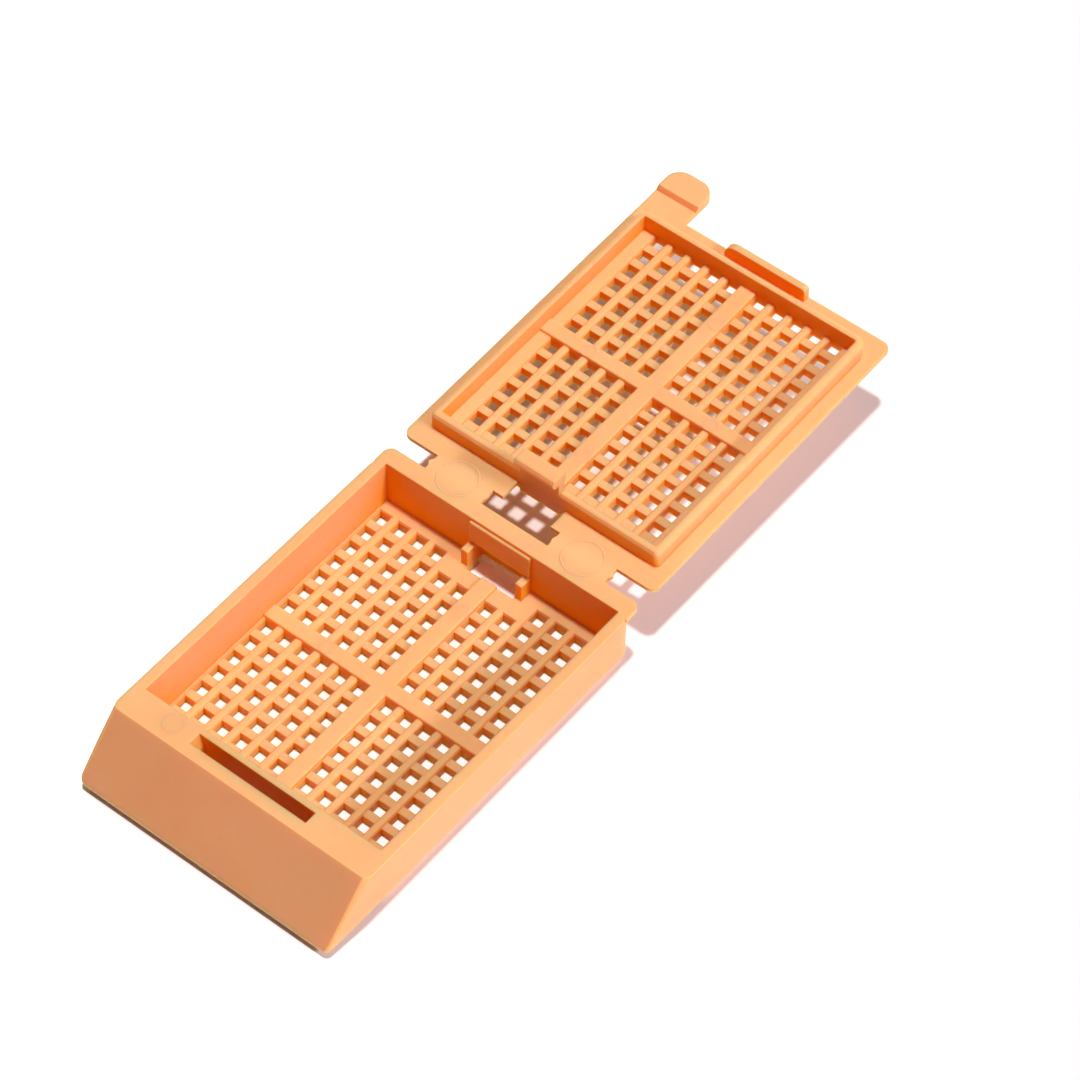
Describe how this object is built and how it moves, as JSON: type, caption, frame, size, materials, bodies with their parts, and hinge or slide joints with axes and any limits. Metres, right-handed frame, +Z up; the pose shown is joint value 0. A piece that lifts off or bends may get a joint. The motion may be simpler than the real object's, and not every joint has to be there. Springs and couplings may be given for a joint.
{
  "type": "tissue cassette",
  "caption": "Perforated tray with a sloped writing face and an attached perforated lid that folds over on thin hinge webs and latches shut.",
  "frame": {"origin": "on the tray's underside, below the crossing of its two floor ribs", "axes": "+X across the tray, away from the side with the finger tab; +Y from the writing face to the hinge and the open lid; +Z up out of the tray"},
  "size_m": [0.0286, 0.0839, 0.0104],
  "materials": {
    "acetal": "apricot, fine matte moulded surface"
  },
  "bodies": {
    "base": {"base_tray": "acetal"},
    "lid": {"lid": "acetal"}
  },
  "joints": [
    {"name": "lid_hinge", "type": "hinge", "parent": "base", "child": "lid", "pos_m": [0, 0.0189, 0.00625], "axis": [1, 0, 0], "range_deg": [0, 178.4]}
  ]
}
